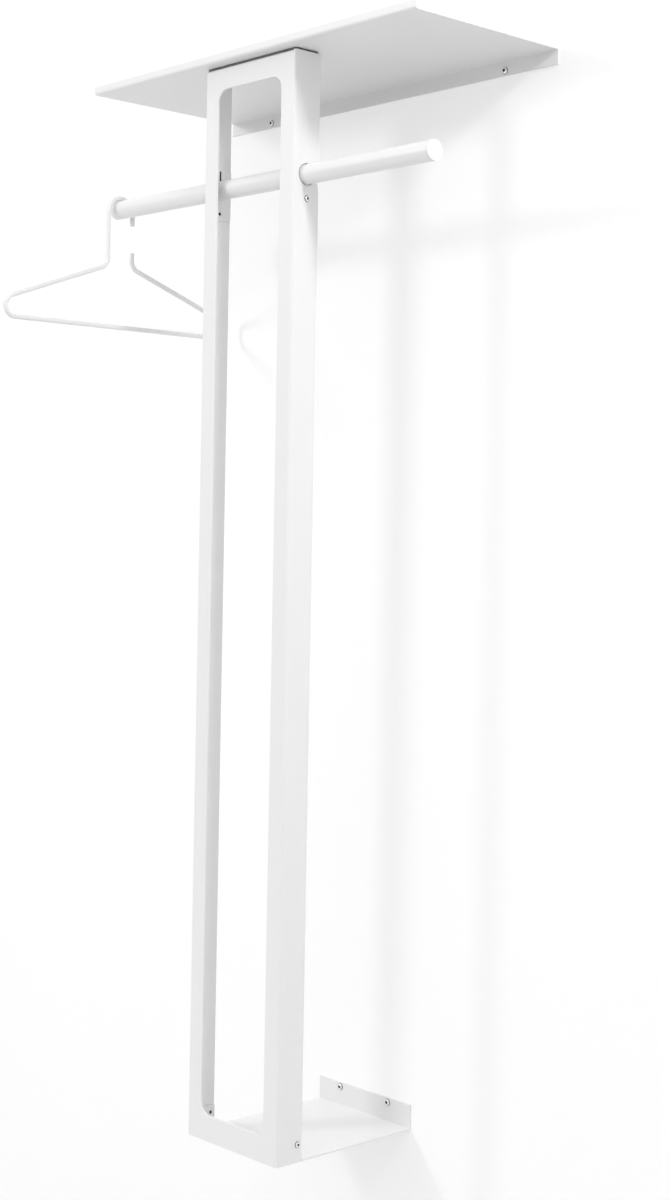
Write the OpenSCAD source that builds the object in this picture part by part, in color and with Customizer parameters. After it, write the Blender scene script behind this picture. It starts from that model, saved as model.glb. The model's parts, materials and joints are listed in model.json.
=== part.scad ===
// Wall coat rack: a folded sheet-steel frame carries a hat shelf and a round rod,
// a foot bracket ties the frame's lower end to the wall, and one open wire hanger
// hangs on the rod.
// Millimetres. X runs along the wall, +Y points into the wall and Z points up.
// The origin lies on the wall, midway between the two upper wall screws.

/* [Sheet] */
// Thickness of the steel sheet
sheet = 3; // [2:0.5:5]
// Outer radius of every fold
fold_r = 4; // [3.5:0.5:8]

/* [Frame] */
// Width of the front panel
frame_w = 210; // [160:5:300]
// Height of the frame
frame_h = 1651; // [1200:1:1900]
// Depth of the side flanges
frame_d = 50; // [40:1:80]
// Width of the panel left and right of the window
stile_w = 31; // [20:1:60]
// Height of the panel above the window
top_rail = 34; // [25:1:80]
// Height of the panel below the window
bottom_rail = 40; // [30:1:100]
// Corner radius of the window
window_r = 20; // [5:1:40]

/* [Shelf] */
// Length of the shelf along the wall
shelf_w = 750; // [500:10:1100]
// Depth of the shelf from the wall
shelf_d = 300; // [250:5:400]
// How far the shelf reaches in front of the frame
shelf_overhang = 20; // [5:1:60]
// Height of the upturned front lip
lip_h = 13; // [8:1:40]
// Height of the downturned wall flange
wall_flange_h = 25; // [22:1:60]
// Distance between the two upper wall screws
shelf_screw_pitch = 540; // [300:10:700]
// Height of the dark spacer between frame and shelf
spacer_h = 3; // [1:0.5:10]

/* [Foot bracket] */
// Height of the upturned wall flange
foot_flange_h = 40; // [30:1:80]
// Height of the side tabs inside the frame
tab_h = 38; // [30:1:80]
// Distance between the two lower wall screws
foot_screw_pitch = 110; // [60:5:160]
// Height of the lower wall screws above the foot
foot_screw_z = 33; // [20:1:60]
// Height of the side screws above the foot
side_screw_z = 27; // [15:1:50]

/* [Rod] */
// Outside diameter of the rod
rod_d = 30; // [20:1:32]
// Wall of the rod's tube
rod_wall = 1.5; // [1:0.5:3]
// Length of the rod over its end caps
rod_len = 740; // [400:10:1100]
// Rod centre behind the face of the frame
rod_back = 27; // [24:1:32]
// Rod centre below the top of the frame
rod_drop = 183; // [120:1:400]
// Play all round the rod in the frame's holes
rod_hole_gap = 1.5; // [0.5:0.25:3]

/* [Rod brackets] */
// Width of a rod bracket
bracket_w = 44; // [36:1:48]
// Height of a rod bracket above the rod centre
bracket_up = 34; // [28:1:60]
// Height of a rod bracket below the rod centre
bracket_down = 46; // [36:1:80]
// Screw below the rod centre
bracket_screw_drop = 36; // [26:1:60]
// Width of the slot above the rod
key_w = 3.2; // [2:0.2:6]

/* [Fasteners] */
// Shank diameter of the wall screws
wall_screw_d = 5; // [4:0.5:8]
// Length of a wall screw under its head
wall_screw_len = 40; // [25:5:80]
// Head diameter of the wall screws
wall_head_d = 11; // [8:0.5:16]
// Thread diameter of the side screws
side_screw_d = 5; // [3:1:6]
// Head diameter of the side screws
side_head_d = 9.5; // [6:0.5:12]
// Thread diameter of the shelf studs
stud_d = 6; // [4:1:8]
// Distance between the shelf studs along the wall
stud_pitch_x = 150; // [80:5:180]
// Distance between the shelf studs in depth
stud_pitch_y = 20; // [16:1:24]

/* [Hanger] */
// Diameter of the hanger's wire
wire_d = 8; // [4:0.5:10]
// Width of the hanger
hanger_w = 450; // [380:5:480]
// Distance between the two legs of the neck, centre to centre
neck_w = 49; // [40:1:60]
// Height of the neck from the arch's centre to the shoulder corner
neck_h = 89; // [60:1:120]
// Slope of the shoulders
shoulder_angle = 20; // [10:1:35]
// Bend radius where the neck meets the shoulder
shoulder_r = 18; // [8:1:30]
// Bend radius at the hanger's tips
tip_r = 17.6; // [10:0.1:30]
// Length of the short leg behind the rod
short_leg = 19; // [5:1:40]
// Height of the gap that lets the rod in
gap_h = 45; // [34:1:60]
// Distance of the hanger from the rod's left end
hanger_in = 9; // [5:1:200]

/* [Hidden] */
// Resolution of round shapes
$fn = 48;
// Overcut of holes
cut = 1;
// Hang height of the wire above the rod
wire_gap = 0.3;
// Reach of a straight stretch of wire into the bends at its ends
wire_lap = 0.5;
// How much thinner the straight stretches are than the bends
wire_thin = 0.06;
// Radial play of a screw in a clearance hole
screw_play = 0.25;
// How much thinner a wall screw is in the sheet than in the wall
neck_step = 0.6;
// Height of the upper wall screws below the underside of the shelf
screw_drop = 14;
// Slit left beside the folded top flange
relief = 0.5;
// Set-back of the foot bracket's tabs from the rear edge of the frame
tab_set = 1;
// Inset of the spacer from the frame's outline
spacer_inset = 2;
// Thickness of a rod end cap outside the tube
cap_t = 2;
// Depth of a rod end cap's spigot
spigot = 14;
// Corner radius of the rod brackets
bracket_r = 4;

face_y = shelf_overhang - shelf_d;
frame_back = face_y + frame_d;
shelf_z = screw_drop;
frame_top = shelf_z - spacer_h;
frame_foot = frame_top - frame_h;
window_w = frame_w - 2 * stile_w;
window_h = frame_h - top_rail - bottom_rail;
inner_x = frame_w / 2 - sheet;
rod_y = face_y + rod_back;
rod_z = frame_top - rod_drop;
side_screw_y = frame_back - 9;
stud_y = (face_y + sheet + frame_back) / 2;
bracket_y = (face_y + sheet + frame_back) / 2;
key_h = bracket_up - rod_d / 2 - 3;
wall_head_h = 3.4;
side_head_h = 2.75;
nut_w = 10;
nut_h = 5;
wire_r = wire_d / 2;
arch_r = neck_w / 2;
arch_z = rod_z + rod_d / 2 + wire_gap + wire_r - arch_r;
corner_z = arch_z - neck_h;
hanger_x = hanger_in - rod_len / 2;
tip_y = hanger_w / 2 - wire_r - tip_r;
// Centre of the tip bends, so that they run tangent into the shoulders
tip_z = corner_z - (tip_y + tip_r * sin(shoulder_angle) - arch_r) * tan(shoulder_angle)
    - tip_r * cos(shoulder_angle);
bend_len = shoulder_r * tan((90 - shoulder_angle) / 2);

// Quarter of a fold's cross-section, in the +X +Y quadrant
module fold() {
    intersection() {
        difference() {
            circle(r = fold_r);
            circle(r = fold_r - sheet);
        }
        square(fold_r);
    }
}

// Draws a (Y, Z) outline along X, centred on X = 0
module along_x(len) {
    rotate([90, 0, 90])
        translate([0, 0, -len / 2])
            linear_extrude(height = len)
                children();
}

// Draws an (X, Z) outline along Y, from y0 towards the wall
module along_y(y0, len) {
    translate([0, y0 + len, 0])
        rotate([90, 0, 0])
            linear_extrude(height = len)
                children();
}

// Round bar along X from x0
module bar_x(x0, y, z, d, len) {
    translate([x0, y, z])
        rotate([0, 90, 0])
            cylinder(d = d, h = len);
}

// Round bar along Y from y0
module bar_y(x, y0, z, d, len) {
    translate([x, y0, z])
        rotate([-90, 0, 0])
            cylinder(d = d, h = len);
}

module rounded_rect(w, h, r) {
    square([w - 2 * r, h], center = true);
    square([w, h - 2 * r], center = true);
    for (x = [-1, 1], y = [-1, 1])
        translate([x * (w / 2 - r), y * (h / 2 - r)])
            circle(r = r);
}

// Cross-section of the shelf: front lip up, plate, wall flange down
module shelf_section() {
    translate([-shelf_d, shelf_z + fold_r])
        square([sheet, lip_h - fold_r]);
    translate([fold_r - shelf_d, shelf_z + fold_r])
        rotate(180)
            fold();
    translate([fold_r - shelf_d, shelf_z])
        square([shelf_d - 2 * fold_r, sheet]);
    translate([-fold_r, shelf_z + sheet - fold_r])
        fold();
    translate([-sheet, shelf_z + sheet - wall_flange_h])
        square([sheet, wall_flange_h - fold_r]);
}

module shelf() {
    color("WhiteSmoke")
        difference() {
            along_x(shelf_w)
                shelf_section();
            for (s = [-1, 1])
                bar_y(s * shelf_screw_pitch / 2, -sheet - cut, 0,
                    wall_screw_d + 2 * screw_play, sheet + 2 * cut);
        }
}

// Places a child at each of the four shelf studs
module at_studs() {
    for (x = [-1, 1], y = [-1, 1])
        translate([x * stud_pitch_x / 2, stud_y + y * stud_pitch_y / 2, 0])
            children();
}

// Dark strip that keeps the frame clear of the shelf
module spacer() {
    color("DimGray")
        difference() {
            translate([0, (face_y + frame_back) / 2, frame_top])
                linear_extrude(height = spacer_h)
                    rounded_rect(frame_w - 2 * spacer_inset, frame_d - 2 * spacer_inset, 3);
            at_studs()
                translate([0, 0, frame_top - cut])
                    cylinder(d = stud_d + 2 * screw_play, h = spacer_h + 2 * cut);
        }
}

// Studs welded under the shelf
module shelf_studs() {
    color("Silver")
        at_studs()
            translate([0, 0, frame_top - sheet - nut_h - 3])
                cylinder(d = stud_d, h = spacer_h + sheet + nut_h + 3);
}

// Nuts that hold the frame's top flange to the studs
module shelf_nuts() {
    color("Silver")
        at_studs()
            translate([0, 0, frame_top - sheet - nut_h])
                difference() {
                    cylinder(d = nut_w / cos(30), h = nut_h, $fn = 6);
                    translate([0, 0, -cut])
                        cylinder(d = stud_d, h = nut_h + 2 * cut);
                }
}

// Plan of the frame: front panel with both side flanges folded back
module frame_section() {
    translate([fold_r - frame_w / 2, face_y])
        square([frame_w - 2 * fold_r, sheet]);
    for (s = [0, 1])
        mirror([s, 0]) {
            translate([frame_w / 2 - fold_r, face_y + fold_r])
                rotate(-90)
                    fold();
            translate([frame_w / 2 - sheet, face_y + fold_r])
                square([sheet, frame_d - fold_r]);
        }
}

// Cross-section of the flange folded back from the panel's top edge
module top_flange_section() {
    translate([face_y + fold_r, frame_top - fold_r])
        rotate(90)
            fold();
    translate([face_y + fold_r, frame_top - sheet])
        square([frame_d - fold_r - relief, sheet]);
}

module frame() {
    color("White")
        difference() {
            union() {
                difference() {
                    translate([0, 0, frame_foot])
                        linear_extrude(height = frame_h)
                            frame_section();
                    translate([relief - inner_x, face_y - cut, frame_top - fold_r])
                        cube([2 * (inner_x - relief), fold_r + cut, fold_r + cut]);
                }
                along_x(2 * (inner_x - relief))
                    top_flange_section();
            }
            along_y(face_y - cut, sheet + 2 * cut)
                translate([0, frame_foot + bottom_rail + window_h / 2])
                    rounded_rect(window_w, window_h, window_r);
            bar_x(-frame_w, rod_y, rod_z, rod_d + 2 * rod_hole_gap, 2 * frame_w);
            bar_x(-frame_w, rod_y, rod_z - bracket_screw_drop,
                side_screw_d + 2 * screw_play, 2 * frame_w);
            bar_x(-frame_w, side_screw_y, frame_foot + side_screw_z,
                side_screw_d + 2 * screw_play, 2 * frame_w);
            at_studs()
                translate([0, 0, frame_top - sheet - cut])
                    cylinder(d = stud_d + 2 * screw_play, h = sheet + 2 * cut);
        }
}

// Cross-section of the foot bracket: plate and wall flange up
module foot_section() {
    translate([frame_back + relief, frame_foot])
        square([-frame_back - relief - fold_r, sheet]);
    translate([-fold_r, frame_foot + fold_r])
        rotate(-90)
            fold();
    translate([-sheet, frame_foot + fold_r])
        square([sheet, foot_flange_h - fold_r]);
}

// Front view of the foot bracket's narrow part: plate and two side tabs up
module tab_section() {
    translate([fold_r - inner_x, frame_foot])
        square([2 * (inner_x - fold_r), sheet]);
    for (s = [0, 1])
        mirror([s, 0]) {
            translate([inner_x - fold_r, frame_foot + fold_r])
                rotate(-90)
                    fold();
            translate([inner_x - sheet, frame_foot + fold_r])
                square([sheet, tab_h - fold_r]);
        }
}

module foot_bracket() {
    // The tabs start clear of the round inside of the frame's folds
    front_y = face_y + fold_r;
    tab_len = frame_back - tab_set - front_y;
    color("WhiteSmoke")
        difference() {
            union() {
                along_x(frame_w)
                    foot_section();
                along_y(front_y, tab_len)
                    tab_section();
                translate([fold_r - inner_x, front_y + tab_len / 2, frame_foot])
                    cube([2 * (inner_x - fold_r), tab_len, sheet]);
            }
            for (s = [-1, 1])
                bar_y(s * foot_screw_pitch / 2, -sheet - cut, frame_foot + foot_screw_z,
                    wall_screw_d + 2 * screw_play, sheet + 2 * cut);
            bar_x(-frame_w, side_screw_y, frame_foot + side_screw_z, side_screw_d, 2 * frame_w);
        }
}

module rod() {
    tube_len = rod_len - 2 * cap_t;
    color("White")
        difference() {
            bar_x(-tube_len / 2, rod_y, rod_z, rod_d, tube_len);
            bar_x(-tube_len / 2 - cut, rod_y, rod_z, rod_d - 2 * rod_wall, tube_len + 2 * cut);
        }
}

// End cap of the rod, its flat face towards +X
module rod_cap() {
    color("WhiteSmoke")
        translate([rod_len / 2, rod_y, rod_z])
            rotate([0, -90, 0])
                rotate_extrude()
                    union() {
                        square([rod_d / 2 - 0.8, cap_t]);
                        translate([0, 0.8])
                            square([rod_d / 2, cap_t - 0.8]);
                        translate([rod_d / 2 - 0.8, 0.8])
                            intersection() {
                                circle(r = 0.8);
                                translate([0, -0.8])
                                    square(0.8);
                            }
                        square([rod_d / 2 - rod_wall, cap_t + spigot]);
                    }
}

module rod_cap_left() {
    mirror([1, 0, 0])
        rod_cap();
}

module rod_cap_right() {
    rod_cap();
}

// Face of a rod bracket, as (Y, Z)
module bracket_face() {
    difference() {
        translate([bracket_y, rod_z + (bracket_up - bracket_down) / 2])
            rounded_rect(bracket_w, bracket_up + bracket_down, bracket_r);
        translate([rod_y, rod_z])
            circle(d = rod_d);
        translate([rod_y - key_w / 2, rod_z])
            square([key_w, rod_d / 2 + key_h]);
        translate([rod_y, rod_z - bracket_screw_drop])
            circle(d = side_screw_d);
    }
}

// Bracket on the inside of the right flange
module rod_bracket() {
    color("White")
        translate([inner_x - sheet / 2, 0, 0])
            along_x(sheet)
                bracket_face();
}

module rod_bracket_left() {
    mirror([1, 0, 0])
        rod_bracket();
}

module rod_bracket_right() {
    rod_bracket();
}

// Dark keys in the brackets' slots, above the rod
module rod_keys() {
    color("DimGray")
        for (s = [-1, 1])
            translate([s * (inner_x - sheet / 2), 0, 0])
                along_x(sheet)
                    difference() {
                        translate([rod_y - key_w / 2, rod_z + rod_d / 2 - 1])
                            square([key_w, key_h + 1]);
                        translate([rod_y, rod_z])
                            circle(d = rod_d);
                    }
}

// Button-head screw along +Z, the underside of its head at Z = 0
module button_screw(d, len, head_d, head_h, key) {
    dome_r = (head_d * head_d / 4 + head_h * head_h) / (2 * head_h);
    difference() {
        union() {
            rotate_extrude()
                intersection() {
                    translate([0, dome_r - head_h])
                        circle(r = dome_r);
                    translate([0, -head_h])
                        square([head_d / 2, head_h]);
                }
            cylinder(d = d, h = len);
        }
        translate([0, 0, -head_h - cut])
            cylinder(d = key / cos(30), h = head_h * 0.6 + cut, $fn = 6);
    }
}

// Side screws at one height, their heads on the outside of the flanges
module side_pair(y, z) {
    color("Silver")
        for (s = [0, 1])
            mirror([s, 0, 0])
                translate([frame_w / 2, y, z])
                    rotate([0, -90, 0])
                        button_screw(side_screw_d, 2 * sheet, side_head_d, side_head_h, 3);
}

module bracket_screws() {
    side_pair(rod_y, rod_z - bracket_screw_drop);
}

module foot_side_screws() {
    side_pair(side_screw_y, frame_foot + side_screw_z);
}

// Wall screw along +Y, its head in front of a wall flange
module wall_screw(x, z) {
    tip = wall_screw_d;
    translate([x, -sheet, z])
        rotate([-90, 0, 0]) {
            button_screw(wall_screw_d - neck_step, sheet, wall_head_d, wall_head_h, 4);
            translate([0, 0, sheet])
                cylinder(d = wall_screw_d, h = wall_screw_len - sheet - tip);
            translate([0, 0, wall_screw_len - tip])
                cylinder(d1 = wall_screw_d, d2 = 1, h = tip);
        }
}

module shelf_wall_screws() {
    color("Silver")
        for (s = [-1, 1])
            wall_screw(s * shelf_screw_pitch / 2, 0);
}

module foot_wall_screws() {
    color("Silver")
        for (s = [-1, 1])
            wall_screw(s * foot_screw_pitch / 2, frame_foot + foot_screw_z);
}

// Bend of the hanger's wire in the (Y, Z) plane, around a centre
module wire_bend(y, z, r, from, sweep) {
    translate([0, y, z])
        rotate([90, 0, 90])
            rotate([0, 0, from])
                rotate_extrude(angle = sweep)
                    translate([r, 0])
                        circle(d = wire_d);
}

// Straight stretch of wire in the (Y, Z) plane, at an angle above +Y
module wire_run(y, z, angle, len) {
    translate([0, y, z])
        rotate([angle - 90, 0, 0])
            translate([0, 0, -wire_lap])
                cylinder(d = wire_d - wire_thin, h = len + 2 * wire_lap);
}

// Shoulder with the bend to the neck and the bend at the tip, on the +Y side
module shoulder() {
    run = (tip_y + tip_r * sin(shoulder_angle) - arch_r) / cos(shoulder_angle) - bend_len;
    wire_bend(arch_r + shoulder_r, corner_z + bend_len, shoulder_r, 180, 90 - shoulder_angle);
    wire_run(arch_r + bend_len * cos(shoulder_angle), corner_z - bend_len * sin(shoulder_angle),
        -shoulder_angle, run);
    wire_bend(tip_y, tip_z, tip_r, -90, 180 - shoulder_angle);
}

// One wire bent into an arch over the rod, two shoulders and a bar
module hanger() {
    stub = neck_h - bend_len - short_leg - gap_h;
    color("WhiteSmoke")
        translate([hanger_x, rod_y, 0]) {
            wire_bend(0, arch_z, arch_r, 0, 180);
            wire_run(arch_r, arch_z + wire_lap - short_leg, 90, short_leg - wire_lap);
            wire_run(arch_r, corner_z + bend_len, 90, stub - wire_lap);
            wire_run(-arch_r, corner_z + bend_len, 90, neck_h - bend_len);
            shoulder();
            mirror([0, 1, 0])
                shoulder();
            wire_run(-tip_y, tip_z - tip_r, 0, 2 * tip_y);
        }
}

shelf();
spacer();
shelf_studs();
shelf_nuts();
frame();
foot_bracket();
rod();
rod_cap_left();
rod_cap_right();
rod_bracket_left();
rod_bracket_right();
rod_keys();
bracket_screws();
foot_side_screws();
shelf_wall_screws();
foot_wall_screws();
hanger();
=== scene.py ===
"""Wall coat rack: models its sheet pieces, rod, hanger and fasteners around the packed part."""

import json
import math

import bmesh
import bpy
from bpy.props import FloatProperty, FloatVectorProperty, IntProperty, PointerProperty
from mathutils import Matrix, Vector


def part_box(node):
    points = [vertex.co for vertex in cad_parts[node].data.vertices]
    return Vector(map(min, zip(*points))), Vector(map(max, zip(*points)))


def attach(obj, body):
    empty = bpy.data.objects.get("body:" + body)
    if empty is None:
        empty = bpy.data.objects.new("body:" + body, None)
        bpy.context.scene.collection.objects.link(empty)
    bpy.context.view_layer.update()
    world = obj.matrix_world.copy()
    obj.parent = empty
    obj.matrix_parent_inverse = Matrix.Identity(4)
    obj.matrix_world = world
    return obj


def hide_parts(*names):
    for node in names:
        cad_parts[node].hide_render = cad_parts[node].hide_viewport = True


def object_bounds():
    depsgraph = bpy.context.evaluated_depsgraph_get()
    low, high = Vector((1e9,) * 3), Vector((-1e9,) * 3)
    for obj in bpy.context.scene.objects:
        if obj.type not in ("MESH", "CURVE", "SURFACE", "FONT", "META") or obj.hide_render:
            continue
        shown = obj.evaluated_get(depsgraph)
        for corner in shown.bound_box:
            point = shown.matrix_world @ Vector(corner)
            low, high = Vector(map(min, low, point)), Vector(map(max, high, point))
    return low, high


bl_info = {
    "name": "Wall Coat Rack",
    "version": (1, 0, 0),
    "blender": (4, 5, 0),
    "location": "View3D > Sidebar > Coat Rack",
    "description": "Models and finishes a sheet-steel wall coat rack, with its wall, light and camera",
    "category": "Object",
}

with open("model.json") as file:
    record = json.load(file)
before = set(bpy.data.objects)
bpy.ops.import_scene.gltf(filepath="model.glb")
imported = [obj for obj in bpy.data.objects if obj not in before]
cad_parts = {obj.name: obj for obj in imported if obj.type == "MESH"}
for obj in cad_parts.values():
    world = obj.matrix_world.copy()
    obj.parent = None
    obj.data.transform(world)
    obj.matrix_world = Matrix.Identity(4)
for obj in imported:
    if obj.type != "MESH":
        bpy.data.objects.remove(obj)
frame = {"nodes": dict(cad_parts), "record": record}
cad_low, cad_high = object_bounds()
cad_middle = (cad_low + cad_high) / 2

MM = 0.001
X, Y, Z = Vector((1, 0, 0)), Vector((0, 1, 0)), Vector((0, 0, 1))
QUARTER = math.radians(90)
TURN = math.radians(360)
# Segments of a full circle on rod and caps, on holes, and on screws and nuts
LARGE_ROUND = 96
ROUND = 64
SMALL_ROUND = 48
# Points closer than this are one point
WELD = 0.002 * MM


# Sizes and colours


def length(name, description, value):
    """A length in millimetres, as a property in metres."""
    return FloatProperty(
        name=name, description=description, default=value * MM, min=0.0, precision=4, unit="LENGTH"
    )


def degrees(name, description, value):
    """An angle in degrees, as a property in radians."""
    return FloatProperty(
        name=name, description=description, default=math.radians(value), subtype="ANGLE"
    )


def number(name, description, value, unit="NONE"):
    """A number in its property's own unit."""
    return FloatProperty(name=name, description=description, default=value, unit=unit)


def count(name, description, value):
    """How many faces a round shape gets."""
    return IntProperty(name=name, description=description, default=value, min=2)


def numbers(name, description, value):
    """Two numbers."""
    return FloatVectorProperty(name=name, description=description, default=value, size=2)


def position(name, description, value):
    """A place in metres."""
    return FloatVectorProperty(
        name=name, description=description, default=value, subtype="XYZ_LENGTH"
    )


def colour(name, description, value):
    """A colour property."""
    return FloatVectorProperty(
        name=name, description=description, default=value, min=0.0, max=1.0, subtype="COLOR"
    )


class SheetSettings(bpy.types.PropertyGroup):
    """Folded sheet steel"""

    thickness: length("Thickness", "Thickness of the steel sheet", 3)
    fold: length("Fold Radius", "Outer radius of every fold", 4)
    edge: length("Edge Radius", "Rounding of the cut edges under their coat", 0.4)
    rim: length("Hole Rim", "Width of the ring of faces round every hole", 0.9)
    steps: count("Fold Steps", "Faces across a fold", 8)
    window_radius: length("Window Radius", "Corner radius of the frame's window", 20)
    window_steps: count("Window Steps", "Faces across a corner of the window", 14)
    stile: length("Stile Width", "Width of the panel left and right of the window", 31)
    top_rail: length("Top Rail", "Height of the panel above the window", 34)
    bottom_rail: length("Bottom Rail", "Height of the panel below the window", 40)
    flange_gap: length("Flange Gap", "From the frame's top flange to the frame's rear", 0.5)
    tab_height: length("Tab Height", "Height of the foot bracket's tabs", 38)
    tab_gap: length("Tab Gap", "From the foot bracket's tabs to the frame's rear", 1)
    foot_gap: length("Foot Gap", "From the frame's rear to the wide part of the foot bracket", 0.5)
    spacer_corner: length("Spacer Corner", "Corner radius of the spacer", 3)
    bracket_edge: length("Bracket Edge", "Rounding of the rod brackets and keys", 0.2)


class RodSettings(bpy.types.PropertyGroup):
    """Rod and its end caps"""

    wall: length("Tube Wall", "Wall of the rod's tube", 1.5)
    tube_edge: length("Tube Edge", "Bevel at the ends of the tube", 0.25)
    hole_gap: length("Hole Gap", "Play round the rod in the frame's holes", 1.5)
    cap: length("Cap Thickness", "Thickness of an end cap outside the tube", 2)
    cap_edge: length("Cap Edge", "Rounding of the end caps", 0.8)


class HangerSettings(bpy.types.PropertyGroup):
    """Open wire hanger"""

    wire: length("Wire", "Diameter of the coated wire", 8)
    end_edge: length("Wire End", "Rounding of the wire's two ends", 0.6)
    neck_width: length("Neck Width", "Distance between the legs of the neck", 49)
    neck_height: length("Neck Height", "From the arch's centre to the shoulder corner", 89)
    shoulder_angle: degrees("Shoulder Slope", "Slope of the shoulders", 20)
    shoulder_radius: length("Shoulder Bend", "Bend radius between neck and shoulder", 18)
    tip_radius: length("Tip Bend", "Bend radius at the hanger's tips", 17.6)
    short_leg: length("Short Leg", "Length of the short leg behind the rod", 19)
    gap: length("Gap", "Height of the gap that lets the rod in", 45)
    sides: count("Wire Sides", "Faces round the wire", 24)
    steps: count("Bend Steps", "Faces in a half turn", 32)


class ScrewSettings(bpy.types.PropertyGroup):
    """Screws, studs and nuts"""

    side_thread: length("Side Screw", "Thread diameter of the side screws", 5)
    side_head: length("Side Screw Head", "Height of the side screws' domed heads", 2.75)
    side_key: length("Side Screw Key", "Key width of the side screws", 3)
    # Painted shade: a side screw's recess is painted black out to this radius.
    side_recess_shade: length("Side Screw Recess", "Radius of the dark recess in a side screw", 1.98)
    side_length: length("Side Screw Length", "Length of the side screws under their heads", 6)
    tip: length("Tip", "Bevel at the ends of side screws and studs", 0.5)
    play: length("Play", "Play round side screws and studs in their holes", 0.25)
    tab_play: length("Tab Play", "Play round the side screws in the foot bracket's tabs", 0.05)
    wall_thread: length("Wall Screw", "Thread diameter of the wall screws", 5)
    wall_head: length("Wall Screw Head", "Height of the wall screws' domed heads", 3.4)
    wall_width: length("Wall Screw Width", "Diameter of the wall screws' heads", 11)
    wall_core: length("Wall Screw Core", "Core diameter of the wall screws", 3.5)
    wall_neck: length("Wall Screw Neck", "Neck diameter of the wall screws", 4.4)
    wall_step: length("Wall Screw Step", "Height of the cone from neck to core", 0.4)
    wall_point: length("Wall Screw Point", "Radius of the blunt point", 0.3)
    wall_lead: length("Wall Screw Lead", "From the end of the thread to the point", 2.2)
    wall_hole: length("Wall Screw Hole", "Diameter of the holes for the wall screws", 5.5)
    wall_pitch: length("Wall Screw Pitch", "Thread pitch of the wall screws", 2.4)
    wall_key: length("Wall Screw Key", "Key width of the wall screws", 4)
    # Painted shade: a wall screw's recess is painted black out to this radius.
    wall_recess_shade: length("Wall Screw Recess", "Radius of the dark recess in a wall screw", 2.4)
    stud_thread: length("Stud", "Thread diameter of the shelf studs", 6)
    stud_pitch: length("Stud Pitch", "Thread pitch of the shelf studs", 1)
    stud_sides: count("Stud Sides", "Faces round the core of a stud", 32)
    nut: length("Nut", "Width of the nuts over their flats", 10)
    nut_edge: length("Nut Edge", "Rounding of the nuts", 0.4)
    # Painted shade: a black band this high round the foot of every screw head; on the side screws it
    # runs down the whole shank.
    foot: length("Dark Foot", "Height of the dark line round the foot of every screw head", 1.1)


class FinishSettings(bpy.types.PropertyGroup):
    """Colours of the finishes"""

    coat: colour("Powder Coat", "White coat on all steel pieces", (0.815, 0.815, 0.815))
    cap: colour("Cap Plastic", "White plastic of the rod's end caps", (0.87, 0.87, 0.865))
    spacer: colour("Spacer", "Dark grey rubber between frame and shelf", (0.19, 0.19, 0.19))
    # Painted shade: the key strips in the brackets' slots are painted black for the shade deep in the
    # slots.
    keys: colour("Keys", "Black rubber keys in the rod brackets", (0.022, 0.022, 0.023))
    bright: colour("Bright Steel", "Bright plating of the screws", (0.86, 0.86, 0.87))
    zinc: colour("Zinc", "Zinc plating of studs and nuts", (0.62, 0.63, 0.64))


class StageSettings(bpy.types.PropertyGroup):
    """Wall, floor, light and camera"""

    lens: number("Lens", "Focal length", 56.4, "CAMERA")
    heading: degrees("Heading", "Turn of the camera from looking straight at the wall", 47.085)
    tilt: degrees("Tilt", "Upward tilt of the camera", 0.457)
    roll: degrees("Roll", "Roll of the camera", -0.999)
    shift: numbers("Shift", "Shift of the lens", (-0.0059, -0.0672))
    camera: position("Camera", "Place of the camera", (2.1891, -2.1078, -0.7058))
    sky: number("Sky", "Strength of the even light from above", 1.02)
    low_sky: number("Low Sky", "Strength of the even light from below", 0.56)
    sky_band: numbers("Sky Band", "Slopes between which low sky turns into sky", (-0.3, 0.6))
    key: number("Key", "Power of the key light", 33.5, "POWER")
    key_place: position("Key Place", "Place of the key light", (-1.8, -3.3, 0.65))
    key_size: length("Key Size", "Diameter of the key light", 650)
    side: number("Side", "Power of the right light", 19.5, "POWER")
    side_place: position("Side Place", "Place of the right light", (2.0, -0.56, 0.8))
    side_size: length("Side Size", "Diameter of the right light", 300)
    spread: length("Spread", "Half the width of wall and floor", 7000)
    floor_z: number("Floor", "Height of the floor", -2.16, "LENGTH")
    paint: colour("Wall Paint", "White of the wall as it lights the object", (0.84, 0.84, 0.84))
    floor: colour("Floor", "Pale floor as it lights the object", (0.68, 0.68, 0.68))
    shown: number("Shown White", "White of wall and floor as they are seen", 1.0)
    glow: number("Glow", "Share of plain white in wall and floor near the rack", 0.4)
    near: length("Near", "Distance from the rack's middle at which the white starts to rise", 1300)
    far: length("Far", "Distance from the rack's middle at which all is plain white", 2400)
    wall_lap: length("Wall Lap", "How far the flanges reach into the wall, to show from behind", 0.2)


# Shader nodes


class Value:
    """A socket that carries a number, with Python's operators as Math nodes."""

    def __init__(self, shader, socket):
        self.shader = shader
        self.socket = socket

    def math(self, operation, *values):
        return self.shader.add("ShaderNodeMath", {"operation": operation}, dict(enumerate(values)))

    def __add__(self, other):
        return self.math("ADD", self, other)

    def __sub__(self, other):
        return self.math("SUBTRACT", self, other)

    def __mul__(self, other):
        return self.math("MULTIPLY", self, other)

    def __gt__(self, other):
        return self.math("GREATER_THAN", self, other)

    def __lt__(self, other):
        return self.math("LESS_THAN", self, other)

    def __rsub__(self, other):
        return self.math("SUBTRACT", other, self)

    def __or__(self, other):
        return self.math("MAXIMUM", self, other)

    def __abs__(self):
        return self.math("ABSOLUTE", self)

    __radd__ = __add__
    __rmul__ = __mul__


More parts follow.
